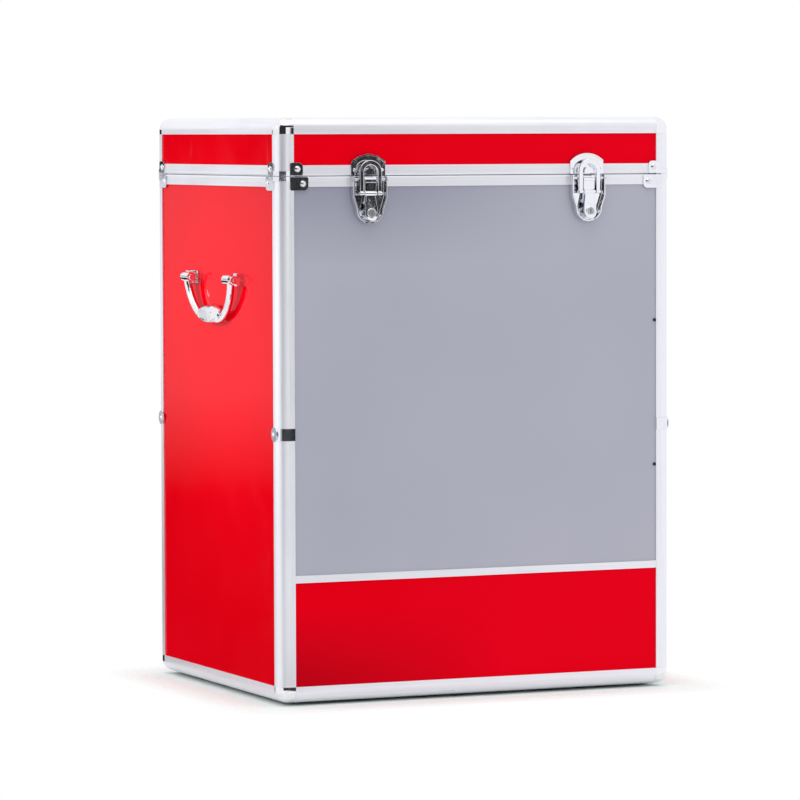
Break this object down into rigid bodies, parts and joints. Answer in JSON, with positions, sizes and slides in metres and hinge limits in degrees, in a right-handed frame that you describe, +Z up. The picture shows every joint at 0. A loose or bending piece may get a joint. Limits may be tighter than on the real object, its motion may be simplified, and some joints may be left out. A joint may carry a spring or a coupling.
{
  "type": "ballot box",
  "caption": "Upright ballot box: gloss red boards in rounded aluminium edging, smoke-grey front window, hinged lid with paper slot, draw latches with locks and side drop handles.",
  "frame": {"origin": "on the floor, at the middle of the overall footprint with latches, hinges and handles included", "axes": "+Z up, the front with the window and latches faces -Y, the handles are on the -X and +X sides"},
  "size_m": [0.4718, 0.3704, 0.601],
  "materials": {
    "red_board": "gloss red laminate on board",
    "base_board": "dark laminate on board",
    "window": "smoke-grey translucent acrylic",
    "edging": "satin anodised",
    "corner": "polished casting",
    "hardware": "bright nickel-chrome plate",
    "handle": "bright plated casting",
    "lock": "plated lock plug",
    "slot_trim": "satin",
    "steel": "zinc plate",
    "dark_screw": "black oxide",
    "rubber": "matt"
  },
  "bodies": {
    "case": {"base_board": "base_board", "left_board": "red_board", "right_board": "red_board", "back_board": "red_board", "front_board": "red_board", "window": "window", "window_rail": "edging", "case_posts": "edging", "base_rails_long": "edging", "base_rails_short": "edging", "case_rims_long": "edging", "case_rims_short": "edging", "base_corners": "corner", "mid_brackets": "hardware", "case_seam_brackets": "hardware", "case_bracket_rivets": "hardware", "feet": "rubber", "foot_screws": "steel", "hinge_lower_leaves": "hardware", "hinge_pins": "steel", "window_screws": "dark_screw", "latch_base_left": "hardware", "latch_base_right": "hardware", "latch_base_rivets": "hardware", "lever_pins": "steel", "handle_lugs_left": "hardware", "handle_lugs_right": "hardware", "handle_pins": "hardware", "handle_rivets": "hardware", "hinge_rivets_case": "hardware"},
    "lid": {"lid_top_board": "red_board", "lid_front_board": "red_board", "lid_back_board": "red_board", "lid_left_board": "red_board", "lid_right_board": "red_board", "lid_posts": "edging", "lid_rails_long": "edging", "lid_rails_short": "edging", "lid_rims_long": "edging", "lid_rims_short": "edging", "lid_corners": "corner", "lid_seam_brackets": "hardware", "lid_bracket_rivets": "hardware", "hinge_upper_leaves": "hardware", "hinge_rivets_lid": "hardware", "slot_trim": "slot_trim", "latch_strikes": "hardware", "strike_rivets": "hardware"},
    "lever_left": {"latch_lever_left": "hardware", "claw_pin_left": "steel"},
    "lever_right": {"latch_lever_right": "hardware", "claw_pin_right": "steel"},
    "claw_left": {"latch_claw_left": "hardware"},
    "claw_right": {"latch_claw_right": "hardware"},
    "lock_left": {"lock_plug_left": "lock"},
    "lock_right": {"lock_plug_right": "lock"},
    "handle_left": {"handle_left": "handle"},
    "handle_right": {"handle_right": "handle"}
  },
  "joints": [
    {"name": "lid_hinge", "type": "hinge", "parent": "case", "child": "lid", "pos_m": [0, 0.18175, 0.5415], "axis": [-1, 0, 0], "range_deg": [0, 105]},
    {"name": "lever_left_pivot", "type": "hinge", "parent": "case", "child": "lever_left", "pos_m": [-0.124, -0.17775, 0.5375], "axis": [-1, 0, 0], "range_deg": [0, 110]},
    {"name": "claw_left_pivot", "type": "hinge", "parent": "lever_left", "child": "claw_left", "pos_m": [-0.124, -0.18075, 0.5235], "axis": [-1, 0, 0], "range_deg": [-130, 0]},
    {"name": "lock_left_turn", "type": "hinge", "parent": "lever_left", "child": "lock_left", "pos_m": [-0.124, -0.18025, 0.5035], "axis": [0, -1, 0], "range_deg": [0, 90]},
    {"name": "handle_left_swing", "type": "hinge", "parent": "case", "child": "handle_left", "pos_m": [-0.2307, 0.00175, 0.4335], "axis": [0, 1, 0], "range_deg": [0, 97]},
    {"name": "lever_right_pivot", "type": "hinge", "parent": "case", "child": "lever_right", "pos_m": [0.124, -0.17775, 0.5375], "axis": [-1, 0, 0], "range_deg": [0, 110]},
    {"name": "claw_right_pivot", "type": "hinge", "parent": "lever_right", "child": "claw_right", "pos_m": [0.124, -0.18075, 0.5235], "axis": [-1, 0, 0], "range_deg": [-130, 0]},
    {"name": "lock_right_turn", "type": "hinge", "parent": "lever_right", "child": "lock_right", "pos_m": [0.124, -0.18025, 0.5035], "axis": [0, -1, 0], "range_deg": [0, 90]},
    {"name": "handle_right_swing", "type": "hinge", "parent": "case", "child": "handle_right", "pos_m": [0.2307, 0.00175, 0.4335], "axis": [0, -1, 0], "range_deg": [0, 97]}
  ],
  "couplings": [
    {"joint": "claw_left_pivot", "follows": "lever_left_pivot", "ratio": -1.15},
    {"joint": "claw_right_pivot", "follows": "lever_right_pivot", "ratio": -1.15}
  ]
}
